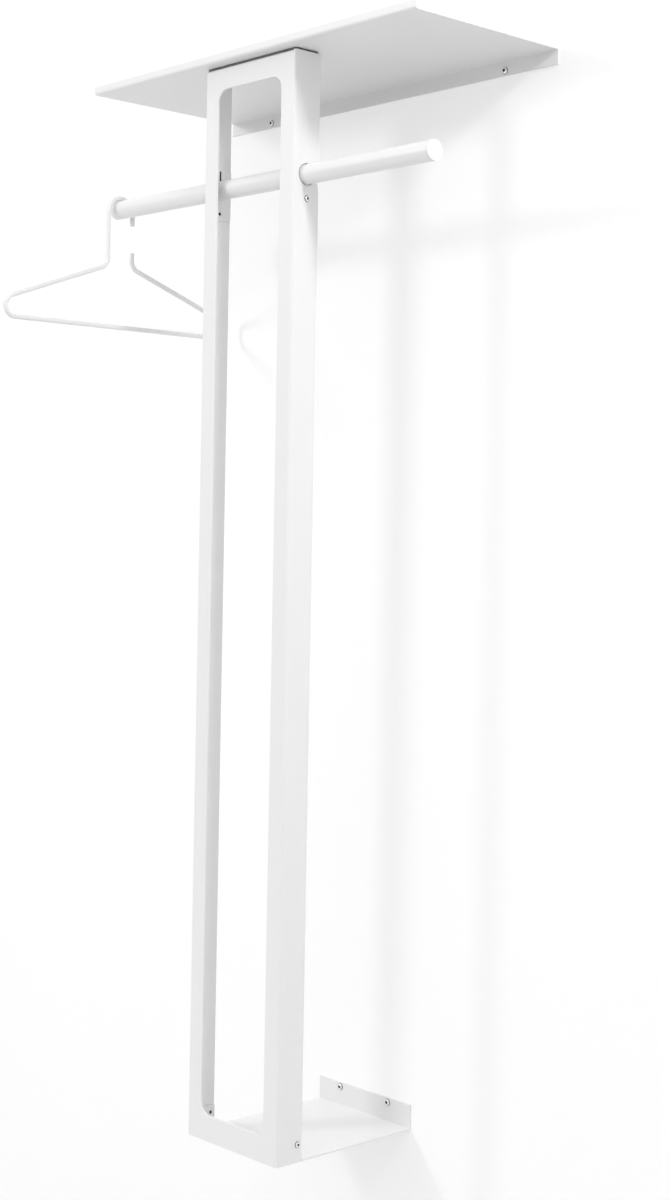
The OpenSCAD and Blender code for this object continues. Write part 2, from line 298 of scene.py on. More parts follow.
class Shader:
    """One material's node tree."""

    def __init__(self, tree, ending):
        self.tree = tree
        tree.nodes.clear()
        self.end = tree.nodes.new(ending)

    @classmethod
    def material(cls, name):
        made = bpy.data.materials.new(name)
        made.use_nodes = True
        shader = cls(made.node_tree, "ShaderNodeOutputMaterial")
        shader.made = made
        shader.coords = shader.add("ShaderNodeTexCoord", output="Object")
        return shader

    def add(self, kind, settings=None, sockets=None, output=0):
        """Adds a node, sets its settings and then its sockets, and gives one of its outputs."""
        node = self.tree.nodes.new(kind)
        for key, value in (settings or {}).items():
            setattr(node, key, value)
        for key, value in (sockets or {}).items():
            self.feed(node.inputs[key], value)
        return Value(self, node.outputs[output])

    def feed(self, socket, value):
        if isinstance(value, Value):
            self.tree.links.new(value.socket, socket)
        else:
            socket.default_value = value

    def noise(self, scale, detail):
        sockets = {"Vector": self.coords, "Scale": scale, "Detail": detail, "Roughness": 0.5}
        return self.add("ShaderNodeTexNoise", {}, sockets)

    def change(self, value, start, end, low, high, **settings):
        """A value that goes from low to high as another goes from start to end."""
        sockets = {"Value": value, "From Min": start, "From Max": end, "To Min": low, "To Max": high}
        return self.add("ShaderNodeMapRange", settings, sockets)

    def blend(self, share, first, second):
        """A colour between the first and the second."""
        return self.add("ShaderNodeMix", {"data_type": "RGBA"}, {0: share, 6: first, 7: second}, 2)

    def tint(self, base, share):
        """The colour base, darkened by the share."""
        settings = {"data_type": "RGBA", "blend_type": "MULTIPLY"}
        grey = self.add("ShaderNodeCombineColor", {}, {0: share, 1: share, 2: share})
        return self.add("ShaderNodeMix", settings, {0: 1.0, 6: (*base, 1.0), 7: grey}, 2)

    def bump(self, height, strength, distance, under=None):
        sockets = {"Height": height, "Strength": strength, "Distance": distance}
        if under:
            sockets["Normal"] = under
        return self.add("ShaderNodeBump", {}, sockets)

    def principled(self, **sockets):
        named = {key.replace("_", " "): value for key, value in sockets.items()}
        surface = self.add("ShaderNodeBsdfPrincipled", {}, named)
        self.feed(self.end.inputs["Surface"], surface)
        return self.made


def powder_coat(name, base, rough=0.4, peel=1.0):
    """White powder coat: fine orange peel, a little uneven in tone and gloss."""
    shader = Shader.material(name)
    swell = shader.noise(420.0, 2.0)
    grain = shader.noise(2600.0, 1.0)
    cloud = shader.noise(7.0, 3.0)
    tone = 0.985 + 0.018 * cloud + 0.012 * grain
    bump = shader.bump(swell, 0.22 * peel, 0.00012)
    bump = shader.bump(grain, 0.16 * peel, 0.00004, bump)
    return shader.principled(
        Base_Color=shader.tint(base, tone),
        Roughness=rough - 0.04 + 0.06 * cloud + 0.05 * grain,
        Normal=bump,
    )


def plastic(name, base):
    """Moulded white plastic with a matt, finely eroded face."""
    shader = Shader.material(name)
    grain = shader.noise(3200.0, 2.0)
    cloud = shader.noise(60.0, 2.0)
    return shader.principled(
        Base_Color=shader.tint(base, 0.98 + 0.03 * cloud),
        Roughness=0.46 + 0.1 * grain,
        Normal=shader.bump(grain, 0.2, 0.00003),
    )


def rubber(name, base):
    """Dark rubber, matt and slightly dusty."""
    shader = Shader.material(name)
    grain = shader.noise(1800.0, 3.0)
    dust = shader.noise(120.0, 3.0)
    return shader.principled(
        Base_Color=shader.tint(base, 0.8 + 0.5 * dust),
        Roughness=0.72 + 0.14 * grain,
        Normal=shader.bump(grain, 0.4, 0.00005),
    )


def metal(name, base, rough):
    """Plain metal with a fine grain and a slightly uneven plating."""
    shader = Shader.material(name)
    cloud = shader.noise(300.0, 3.0)
    grain = shader.noise(5200.0, 1.0)
    return shader.principled(
        Base_Color=shader.tint(base, 0.86 + 0.22 * cloud),
        Metallic=1.0,
        Roughness=rough - 0.06 + 0.14 * cloud,
        Normal=shader.bump(grain, 0.25, 0.00002),
    )


def screw_plating_and_painted_shade(name, base, recess, middle, axis, foot):
    """Bright plating of two mirrored screws, with painted shade: black in their recess and along their
    head's foot.
    """
    shader = Shader.material(name)
    place = {key: shader.add("ShaderNodeSeparateXYZ", {}, {0: shader.coords}, key) for key in "XYZ"}
    cloud = shader.noise(300.0, 3.0)
    across, up = [abs(place[key]) - abs(at) for key, at in middle.items()]
    # Painted shade: a black disc round each axis, where the key's recess lies in shade.
    inside = across * across + up * up < recess * recess
    depth = place[axis] if foot[0] < 0 else abs(place[axis])
    # Painted shade: a black band along the head's foot, between the depths that foot gives.
    dark = inside | (depth > foot[0]) * (depth < foot[1])
    tone = shader.tint(base, 0.9 + 0.16 * cloud)
    return shader.principled(
        Base_Color=shader.blend(dark, tone, (0.012, 0.012, 0.013, 1.0)),
        Metallic=1.0 - dark,
        Roughness=0.27 + 0.1 * cloud + 0.3 * dark,
    )


# Sheet and turned shapes


def centre_of(node):
    """The middle of a node's box."""
    low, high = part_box(node)
    return (low + high) / 2


def radius_of(node):
    """The radius of a round node that lies level."""
    low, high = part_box(node)
    return (high.z - low.z) / 2


def verts_in(geom):
    """The vertices that an operator gives."""
    return [v for v in geom if isinstance(v, bmesh.types.BMVert)]


def edges_in(geom):
    """The edges that an operator gives."""
    return [e for e in geom if isinstance(e, bmesh.types.BMEdge)]


def edges_of(verts):
    """The edges whose both ends are among the vertices."""
    chosen = set(verts)
    near = dict.fromkeys(e for v in verts for e in v.link_edges)
    return [e for e in near if set(e.verts) <= chosen]


def placed(centre, along):
    """A transform that takes the origin to centre and +Z to the direction along."""
    return Matrix.Translation(centre) @ along.to_track_quat("Z", "Y").to_matrix().to_4x4()


def open_hole(bm, face, rim):
    """Leaves a narrow ring of the face, takes the middle out, and gives the ring's outer edges."""
    ring = bmesh.ops.inset_region(
        bm, faces=[face], thickness=rim, use_boundary=True, use_even_offset=True
    )["faces"]
    outer = [e for f in ring for e in f.edges if len(e.link_faces) == 1]
    bmesh.ops.delete(bm, geom=[face], context="FACES")
    return outer


def round_hole(centre, along, radius):
    """A round hole for flat()."""

    def cut(bm, rim):
        verts = bmesh.ops.create_circle(
            bm, cap_ends=True, segments=ROUND, radius=radius + rim, matrix=placed(centre, along)
        )["verts"]
        return open_hole(bm, verts[0].link_faces[0], rim)

    return cut


def window(corners, radius, steps):
    """A window with rounded corners for flat()."""

    def cut(bm, rim):
        middle = sum(corners, Vector()) / len(corners)
        ways = [[(v > WELD) - (v < -WELD) for v in c - middle] for c in corners]
        grown = [c + Vector(way) * rim for c, way in zip(corners, ways)]
        old = set(bm.faces)
        face = bm.faces.new([bm.verts.new(c) for c in grown])
        soften(bm, face.verts[:], radius + rim, steps, "VERTICES")
        return open_hole(bm, next(f for f in bm.faces if f not in old), rim)

    return cut


def wall_holes(node, y, screws):
    """The two holes for flat() that a pair of wall screws goes through."""
    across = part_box(node)[1].x - screws.wall_width / 2
    up = centre_of(node).z
    return [round_hole(Vector((s * across, y, up)), Y, screws.wall_hole / 2) for s in (-1, 1)]


def stud_places(screws):
    """Where the four studs stand."""
    low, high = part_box("shelf_studs")
    r = screws.stud_thread / 2
    return [(x, y) for x in (low.x + r, high.x - r) for y in (low.y + r, high.y - r)]


def stud_holes(z, screws):
    """The four holes for flat() that the studs go through."""
    radius = screws.stud_thread / 2 + screws.play
    return [round_hole(Vector((x, y, z)), Z, radius) for x, y in stud_places(screws)]


def flat(bm, corners, holes=(), rim=0.0):
    """Fills one flat of a sheet between its outline and its holes."""
    verts = [bm.verts.new(c) for c in corners]
    edges = [bm.edges.new(pair) for pair in zip(verts, verts[1:] + verts[:1])]
    loops = list(edges)
    for cut in holes:
        loops += cut(bm, rim)
    bmesh.ops.triangle_fill(bm, edges=loops, use_beauty=True)
    return edges


def fold(bm, edges, centre, axis, angle, steps, run=None):
    """Bends a strip off the edges of a sheet, round an axis, and can run it on straight."""
    verts = list(dict.fromkeys(v for e in edges for v in e.verts))
    last = bmesh.ops.spin(
        bm, geom=verts + edges, cent=centre, axis=axis, angle=angle, steps=steps, use_duplicate=False
    )["geom_last"]
    ends = edges_in(last)
    if run:
        stretch(bm, ends, run)
    return ends


def stretch(bm, edges, run):
    """Runs edges on straight and gives their new places."""
    out = bmesh.ops.extrude_edge_only(bm, edges=edges)["geom"]
    bmesh.ops.translate(bm, vec=run, verts=verts_in(out))
    return edges_in(out)


def raise_faces(bm, run):
    """Gives a flat shape its thickness, with its faces outwards."""
    out = bmesh.ops.extrude_face_region(bm, geom=bm.faces[:])["geom"]
    bmesh.ops.translate(bm, vec=run, verts=verts_in(out))
    bmesh.ops.recalc_face_normals(bm, faces=bm.faces[:])


def soften(bm, geom, radius, steps=2, affect="EDGES"):
    """Rounds edges, or the corners of a flat face."""
    bmesh.ops.bevel(
        bm,
        geom=geom,
        affect=affect,
        offset=radius,
        offset_type="OFFSET",
        segments=steps,
        profile=0.5,
        material=-1,
        clamp_overlap=True,
    )


def sharp_edges(bm, least=60):
    """The edges where the surface turns by more than so many degrees."""
    least = math.radians(least)
    return [e for e in bm.edges if len(e.link_faces) == 2 and e.calc_face_angle() > least]


def thicken(bm, outward, sheet):
    """Welds the flats and folds of a skin, gives it its thickness and rounds the cut edges."""
    bmesh.ops.remove_doubles(bm, verts=bm.verts[:], dist=WELD)
    bmesh.ops.recalc_face_normals(bm, faces=bm.faces[:])
    largest = max(bm.faces, key=lambda f: f.calc_area())
    if largest.normal.dot(outward) < 0:
        bmesh.ops.reverse_faces(bm, faces=bm.faces[:])
    bmesh.ops.solidify(bm, geom=bm.faces[:], thickness=sheet.thickness)
    bmesh.ops.recalc_face_normals(bm, faces=bm.faces[:])
    soften(bm, sharp_edges(bm), sheet.edge)


def lathe(bm, profile, segments, closed=False):
    """Turns a profile of (radius, height) points about Z."""
    old = set(bm.verts)
    verts = [bm.verts.new((r, 0, h)) for r, h in profile]
    pairs = zip(verts, verts[1:] + (verts[:1] if closed else []))
    edges = [bm.edges.new(pair) for pair in pairs]
    bmesh.ops.spin(
        bm,
        geom=verts + edges,
        cent=(0, 0, 0),
        axis=Z,
        angle=TURN,
        steps=segments,
        use_merge=True,
        use_duplicate=False,
    )
    new = [v for v in bm.verts if v not in old]
    bmesh.ops.remove_doubles(bm, verts=new, dist=WELD)
    return [v for v in bm.verts if v not in old]


def dome(radius, height, inner, foot, steps=8):
    """Profile of a domed head, from its upright foot up to where the key's recess starts."""
    rise = height - foot
    ball = (radius * radius + rise * rise) / (2 * rise)
    low = math.asin(radius / ball)
    high = math.asin(inner / ball)
    angles = [low + (high - low) * i / steps for i in range(steps + 1)]
    return [(ball * math.sin(a), height - ball + ball * math.cos(a)) for a in angles]


def circle(bm, radius, height):
    """A loop of vertices round Z."""
    level = Matrix.Translation(Z * height)
    return bmesh.ops.create_circle(bm, segments=SMALL_ROUND, radius=radius, matrix=level)["verts"]


def hexagon(bm, width, height):
    """A loop of edges round a hexagon of that width over its flats."""
    verts = circle(bm, width / 2, height)
    for vert in verts:
        angle = math.atan2(vert.co.y, vert.co.x) % (TURN / 6) - TURN / 12
        vert.co.xy = vert.co.xy / math.cos(angle)
    return edges_of(verts)


def screw(radius, height, key, shank, shape):
    """A screw along Z: domed head on Z = 0 with a hexagon recess, and a turned shank under it."""
    foot = 0.35 * MM
    lead = 0.12 * MM
    mouth = 0.62 * key
    depth = 0.6 * height
    bm = bmesh.new()
    profile = [(shank, 0.0), (radius - foot, 0.0), *dome(radius, height, mouth, foot)]
    verts = lathe(bm, profile, SMALL_ROUND)
    top = max(v.co.z for v in verts)
    ring = edges_of([v for v in verts if v.co.z > top - WELD])
    rim = hexagon(bm, key, top - lead)
    bmesh.ops.bridge_loops(bm, edges=ring + rim)
    bmesh.ops.contextual_create(bm, geom=stretch(bm, rim, -Z * depth))
    lathe(bm, [(shank, 0), *shape], SMALL_ROUND)
    bmesh.ops.remove_doubles(bm, verts=bm.verts[:], dist=WELD)
    return bm


def thread(bm, core, outer, pitch, low, high, taper=None):
    """A helical ridge round Z, from height low to high; past taper it runs out to a point."""
    segments = SMALL_ROUND // 2
    steps = round((high - low) / pitch * segments)
    half = 0.42 * pitch
    sunk = core - 0.1 * MM
    least = 0.05
    old = set(bm.verts)
    ridge = ((sunk, 0, low), (outer, 0, low + half), (sunk, 0, low + 2 * half))
    verts = [bm.verts.new(c) for c in ridge]
    face = bm.faces.new(verts)
    last = bmesh.ops.spin(
        bm,
        geom=verts + face.edges[:],
        cent=(0, 0, 0),
        axis=Z,
        dvec=Z * pitch / segments,
        angle=TURN * steps / segments,
        steps=steps,
        use_duplicate=False,
    )["geom_last"]
    bmesh.ops.contextual_create(bm, geom=edges_in(last))
    if taper:
        end = high + 2 * half
        for vert in set(bm.verts) - old:
            if vert.co.z > taper:
                vert.co.xy *= max(least, 1 - (vert.co.z - taper) / (end - taper))


def mirrored(bm, axis):
    """Adds a mirrored copy of all that is there."""
    scale = Vector([-1 if a else 1 for a in axis])
    copy = bmesh.ops.duplicate(bm, geom=bm.verts[:] + bm.edges[:] + bm.faces[:])["geom"]
    bmesh.ops.scale(bm, vec=scale, verts=verts_in(copy))
    bmesh.ops.reverse_faces(bm, faces=[f for f in copy if isinstance(f, bmesh.types.BMFace)])


def join(bm, part):
    """Adds part to bm."""
    spare = bpy.data.meshes.new("spare")
    part.to_mesh(spare)
    part.free()
    bm.from_mesh(spare)
    bpy.data.meshes.remove(spare)


def finished(name, bm, material):
    """Turns a bmesh into an object with one material."""
    mesh = bpy.data.meshes.new(name)
    bm.to_mesh(mesh)
    bm.free()
    mesh.materials.append(material)
    made = bpy.data.objects.new(name, mesh)
    bpy.context.scene.collection.objects.link(made)
    return made


def piece(name, bm, material, node, closed=True):
    """Makes the object, shades it smooth and lets it stand for its node on the node's body."""
    if closed:
        bmesh.ops.recalc_face_normals(bm, faces=bm.faces[:])
    made = finished(name, bm, material)
    made.data.shade_smooth()
    even = made.modifiers.new("Even Normals", "WEIGHTED_NORMAL")
    even.keep_sharp = True
    record = frame["record"]
    body = next(b for b, held in record["behaviour"]["bodies"].items() if node in held)
    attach(made, body)
    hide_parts(node)


# Operators


class COATRACK_OT_shelf(bpy.types.Operator):
    """Fold the shelf from one sheet: front lip up, wall flange down"""

    bl_idname = "coat_rack.shelf"
    bl_label = "Shelf"

    def execute(self, context):
        sheet = context.scene.coat_rack_sheet
        low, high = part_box("shelf")
        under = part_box("spacer")[1].z
        left, right = low.x, high.x
        front = low.y + sheet.fold
        rear = high.y - sheet.fold
        inner = sheet.fold - sheet.thickness
        face = high.y - sheet.thickness
        bm = bmesh.new()
        plate = [(left, front), (right, front), (right, rear), (left, rear)]
        edges = flat(bm, [(x, y, under) for x, y in plate])
        turn = Vector((0, front, under + sheet.fold))
        rise = Z * (high.z - turn.z)
        fold(bm, edges[:1], turn, X, -QUARTER, sheet.steps, rise)
        turn = Vector((0, rear, under - inner))
        fold(bm, edges[2:3], turn, X, -QUARTER, sheet.steps)
        down = [(right, turn.z), (right, low.z), (left, low.z), (left, turn.z)]
        holes = wall_holes("shelf_wall_screws", face, context.scene.coat_rack_screws)
        flat(bm, [(x, face, z) for x, z in down], holes, sheet.rim)
        thicken(bm, -Z, sheet)
        coat = powder_coat("shelf coat", context.scene.coat_rack_finish.coat)
        piece("shelf_sheet", bm, coat, "shelf")
        return {"FINISHED"}


class COATRACK_OT_frame(bpy.types.Operator):
    """Fold the tall frame from one sheet, with its window and the rod's holes"""

    bl_idname = "coat_rack.frame"
    bl_label = "Frame"

    def execute(self, context):
        sheet = context.scene.coat_rack_sheet
        screws = context.scene.coat_rack_screws
        low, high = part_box("frame")
        r = sheet.fold
        side = high.x - r
        front = low.y + r
        fold_top = high.z - r
        bm = bmesh.new()
        corners = [(-side, low.z), (side, low.z), (side, fold_top), (-side, fold_top)]
        half = high.x - sheet.stile
        w_low, w_high = low.z + sheet.bottom_rail, high.z - sheet.top_rail
        opening = [(-half, w_low), (half, w_low), (half, w_high), (-half, w_high)]
        opening = [Vector((x, low.y, z)) for x, z in opening]
        cut = window(opening, sheet.window_radius, sheet.window_steps)
        edges = flat(bm, [(x, low.y, z) for x, z in corners], [cut], sheet.rim)
        turn = Vector((0, front, fold_top))
        fold(bm, edges[2:3], turn, X, -QUARTER, sheet.steps)
        rod_hole = radius_of("rod") + context.scene.coat_rack_rod.hole_gap
        screw_hole = screws.side_thread / 2 + screws.play
        through = (("rod", rod_hole), ("bracket_screws", screw_hole), ("foot_side_screws", screw_hole))
        outline = [(front, low.z), (high.y, low.z), (high.y, high.z), (front, high.z), (front, fold_top)]
        for s, strip in ((1, edges[1]), (-1, edges[3])):
            corner = max(strip.verts, key=lambda v: v.co.z)
            slit = bm.edges.new((corner, bm.verts.new((s * side, low.y, high.z))))
            turn = Vector((s * side, front, 0))
            fold(bm, [strip, slit], turn, Z, s * QUARTER, sheet.steps)
            holes = []
            for node, radius in through:
                middle = centre_of(node)
                holes.append(round_hole(Vector((s * high.x, middle.y, middle.z)), X, radius))
            flat(bm, [(s * high.x, y, z) for y, z in outline], holes, sheet.rim)
        rear = high.y - sheet.flange_gap
        top = [(-side, front), (side, front), (side, rear), (-side, rear)]
        flat(bm, [(x, y, high.z) for x, y in top], stud_holes(high.z, screws), sheet.rim)
        thicken(bm, -Y, sheet)
        coat = powder_coat("frame coat", context.scene.coat_rack_finish.coat)
        piece("frame_sheet", bm, coat, "frame")
        return {"FINISHED"}


class COATRACK_OT_foot_bracket(bpy.types.Operator):
    """Fold the foot bracket: plate, wall flange up and two tabs up inside the frame"""

    bl_idname = "coat_rack.foot_bracket"
    bl_label = "Foot Bracket"

    def execute(self, context):
        sheet = context.scene.coat_rack_sheet
        screws = context.scene.coat_rack_screws
        low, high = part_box("foot_bracket")
        frame_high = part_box("frame")[1]
        r = sheet.fold
        inside = frame_high.x - sheet.thickness
        narrow, wide = inside - r, high.x
        tab_end = frame_high.y - sheet.tab_gap
        wide_y = frame_high.y + sheet.foot_gap
        rear = high.y - r
        plan = [
            (-narrow, low.y),
            (narrow, low.y),
            (narrow, tab_end),
            (narrow, wide_y),
            (wide, wide_y),
            (wide, rear),
            (-wide, rear),
            (-wide, wide_y),
            (-narrow, wide_y),
            (-narrow, tab_end),
        ]
        bm = bmesh.new()
        edges = flat(bm, [(x, y, low.z) for x, y in plan])
        start = low.z + r
        fold(bm, edges[5:6], Vector((0, rear, start)), X, QUARTER, sheet.steps)
        up = [(wide, start), (wide, high.z), (-wide, high.z), (-wide, start)]
        holes = wall_holes("foot_wall_screws", high.y, screws)
        flat(bm, [(x, high.y, z) for x, z in up], holes, sheet.rim)
        middle = centre_of("foot_side_screws")
        tab_top = low.z + sheet.tab_height
        tab = [(low.y, start), (tab_end, start), (tab_end, tab_top), (low.y, tab_top)]
        radius = screws.side_thread / 2 + screws.tab_play
        for s, strip in ((1, edges[1]), (-1, edges[9])):
            fold(bm, [strip], Vector((s * narrow, 0, start)), Y, -s * QUARTER, sheet.steps)
            hole = round_hole(Vector((s * inside, middle.y, middle.z)), X, radius)
            flat(bm, [(s * inside, y, z) for y, z in tab], [hole], sheet.rim)
        thicken(bm, -Z, sheet)
        coat = powder_coat("foot coat", context.scene.coat_rack_finish.coat)
        piece("foot_sheet", bm, coat, "foot_bracket")
        return {"FINISHED"}


class COATRACK_OT_rod(bpy.types.Operator):
    """Turn the rod's tube and its two end caps"""

    bl_idname = "coat_rack.rod"
    bl_label = "Rod"

    def execute(self, context):
        rod = context.scene.coat_rack_rod
        finish = context.scene.coat_rack_finish
        low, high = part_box("rod")
        radius = radius_of("rod")
        centre = centre_of("rod")
        bore = radius - rod.wall
        bm = bmesh.new()
        edge = rod.tube_edge
        long = high.x - low.x
        profile = [
            (radius, edge),
            (radius, long - edge),
            (radius - edge, long),
            (bore, long),
            (bore, 0),
            (radius - edge, 0),
        ]
        start = Vector((low.x, centre.y, centre.z))
        verts = lathe(bm, profile, LARGE_ROUND, closed=True)
        bmesh.ops.transform(bm, matrix=placed(start, X), verts=verts)
        coat = powder_coat("rod coat", finish.coat, rough=0.3, peel=0.7)
        piece("rod_tube", bm, coat, "rod")
        white = plastic("cap plastic", finish.cap)
        for side, s in (("left", -1), ("right", 1)):
            node = f"rod_cap_{side}"
            c_low, c_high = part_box(node)
            deep = c_high.x - c_low.x
            outer = Vector((c_high.x if s > 0 else c_low.x, centre.y, centre.z))
            bm = bmesh.new()
            profile = [(0, 0), (radius, 0), (radius, rod.cap), (bore, rod.cap), (bore, deep), (0, deep)]
            verts = lathe(bm, profile, LARGE_ROUND)
            bmesh.ops.transform(bm, matrix=placed(outer, -s * X), verts=verts)
            rim = [v for v in verts if abs(v.co.x - outer.x) < WELD and (v.co - outer).length > bore]
            soften(bm, edges_of(rim), rod.cap_edge, steps=4)
            piece(f"{node}_plug", bm, white, node)
        return {"FINISHED"}


class COATRACK_OT_rod_brackets(bpy.types.Operator):
    """Finish the two plates that carry the rod, and the black key strips in their slots, which paint the
    slots' shade
    """

    bl_idname = "coat_rack.rod_brackets"
    bl_label = "Rod Brackets"

    def execute(self, context):
        finish = context.scene.coat_rack_finish
        coat = powder_coat("bracket coat", finish.coat)
        # Painted shade: the key strips get a black matt material for the shade inside the slots.
        dark = rubber("slot shade black", finish.keys)
        for node, name, material in (
            ("rod_bracket_left", "rod_bracket_left_plate", coat),
            ("rod_bracket_right", "rod_bracket_right_plate", coat),
            ("rod_keys", "rod_slot_shade_strips", dark),
        ):
            bm = bmesh.new()
            bm.from_mesh(frame["nodes"][node].data)
            bmesh.ops.remove_doubles(bm, verts=bm.verts[:], dist=WELD)
            bmesh.ops.dissolve_limit(
                bm, angle_limit=math.radians(1), verts=bm.verts[:], edges=bm.edges[:]
            )
            soften(bm, sharp_edges(bm), context.scene.coat_rack_sheet.bracket_edge)
            piece(name, bm, material, node, closed=False)
        return {"FINISHED"}


class COATRACK_OT_spacer(bpy.types.Operator):
    """Cut the rubber spacer between frame and shelf"""

    bl_idname = "coat_rack.spacer"
    bl_label = "Spacer"

    def execute(self, context):
        low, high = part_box("spacer")
        sheet = context.scene.coat_rack_sheet
        holes = stud_holes(low.z, context.scene.coat_rack_screws)
        bm = bmesh.new()
        plan = ((low.x, low.y), (high.x, low.y), (high.x, high.y), (low.x, high.y))
        flat(bm, [(x, y, low.z) for x, y in plan], holes, sheet.rim)
        bmesh.ops.remove_doubles(bm, verts=bm.verts[:], dist=WELD)
        raise_faces(bm, Z * (high.z - low.z))
        corners = []
        for edge in sharp_edges(bm):
            start, end = [vert.co for vert in edge.verts]
            if abs(start.z - end.z) > MM and abs(start.x) > high.x - WELD:
                corners.append(edge)
        soften(bm, corners, sheet.spacer_corner, steps=6)
        dark = rubber("spacer rubber", context.scene.coat_rack_finish.spacer)
        piece("spacer_strip", bm, dark, "spacer")
        return {"FINISHED"}


class COATRACK_OT_side_screws(bpy.types.Operator):
    """Turn the four bright button-head screws in the frame's flanges"""

    bl_idname = "coat_rack.side_screws"
    bl_label = "Side Screws"

    def execute(self, context):
        screws = context.scene.coat_rack_screws
        bright = context.scene.coat_rack_finish.bright
        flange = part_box("frame")[1].x
        shank = screws.side_thread / 2
        end = -screws.side_length
        shape = [(shank, end + screws.tip), (shank - screws.tip, end), (0, end)]
        for node in ("bracket_screws", "foot_side_screws"):
            bm = screw(radius_of(node), screws.side_head, screws.side_key, shank, shape)
            centre = centre_of(node)
            centre.x = flange
            middle = {"Y": centre.y, "Z": centre.z}
            # Painted shade from the middle out past the flange: the whole shank and the foot of each
            # head.
            foot = (0.0, flange + screws.foot)
            steel = screw_plating_and_painted_shade(f"{node} steel", bright, screws.side_recess_shade, middle, "X", foot)
            bmesh.ops.transform(bm, matrix=placed(centre, X), verts=bm.verts[:])
            mirrored(bm, X)
            piece(f"{node}_turned", bm, steel, node)
        return {"FINISHED"}


class COATRACK_OT_wall_screws(bpy.types.Operator):
    """Turn the four wall screws, with their threads"""

    bl_idname = "coat_rack.wall_screws"
    bl_label = "Wall Screws"

    def execute(self, context):
        screws = context.scene.coat_rack_screws
        sheet = context.scene.coat_rack_sheet
        bright = context.scene.coat_rack_finish.bright
        for node in ("shelf_wall_screws", "foot_wall_screws"):
            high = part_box(node)[1]
            radius = radius_of(node)
            neck, core = screws.wall_neck / 2, screws.wall_core / 2
            under = -sheet.thickness
            point = under - high.y
            cone = point + screws.wall_thread
            shape = [(neck, under), (core, under - screws.wall_step), (core, cone)]
            shape += [(screws.wall_point, point), (0, point)]
            bm = screw(radius, screws.wall_head, screws.wall_key, neck, shape)
            helix = bmesh.new()
            start = screws.wall_step / 2 - under
            end = -point - screws.wall_lead
            thread(helix, core, screws.wall_thread / 2, screws.wall_pitch, start, end, taper=-cone)
            over = Matrix.Rotation(TURN / 2, 3, "X")
            bmesh.ops.rotate(helix, cent=(0, 0, 0), matrix=over, verts=helix.verts[:])
            join(bm, helix)
            centre = Vector((high.x - radius, under, centre_of(node).z))
            middle = {"X": centre.x, "Z": centre.z}
            # Painted shade round the foot of each head, just in front of the flange.
            foot = (under - screws.foot, under)
            steel = screw_plating_and_painted_shade(f"{node} steel", bright, screws.wall_recess_shade, middle, "Y", foot)
            bmesh.ops.transform(bm, matrix=placed(centre, -Y), verts=bm.verts[:])
            mirrored(bm, X)
            piece(f"{node}_turned", bm, steel, node)
        return {"FINISHED"}


class COATRACK_OT_studs(bpy.types.Operator):
    """Cut the threaded studs under the shelf and the nuts on them"""

    bl_idname = "coat_rack.studs"
    bl_label = "Studs and Nuts"

    def execute(self, context):
        screws = context.scene.coat_rack_screws
        zinc = metal("zinc plating", context.scene.coat_rack_finish.zinc, 0.34)
        low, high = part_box("shelf_studs")
        r = screws.stud_thread / 2
        core = r - 0.6 * screws.stud_pitch
        end = low.z + screws.tip
        shape = [(0, low.z), (core - 0.6 * screws.tip, low.z)]
        shape += [(core, end), (core, high.z), (0, high.z)]
        bm = bmesh.new()
        for x, y in stud_places(screws):
            part = bmesh.new()
            lathe(part, shape, screws.stud_sides)
            thread(part, core, r, screws.stud_pitch, end, high.z - screws.stud_pitch)
            bmesh.ops.translate(part, vec=(x, y, 0), verts=part.verts[:])
            join(bm, part)
        piece("shelf_studs_threaded", bm, zinc, "shelf_studs")
        low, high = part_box("shelf_nuts")
        bm = bmesh.new()
        for x, y in stud_places(screws):
            part = bmesh.new()
            outer = hexagon(part, screws.nut, low.z)
            inner = edges_of(circle(part, r, low.z))
            bmesh.ops.bridge_loops(part, edges=outer + inner)
            raise_faces(part, Z * (high.z - low.z))
            soften(part, sharp_edges(part, least=50), screws.nut_edge)
            bmesh.ops.translate(part, vec=(x, y, 0), verts=part.verts[:])
            join(bm, part)
        piece("shelf_nuts_hexagon", bm, zinc, "shelf_nuts")
        return {"FINISHED"}


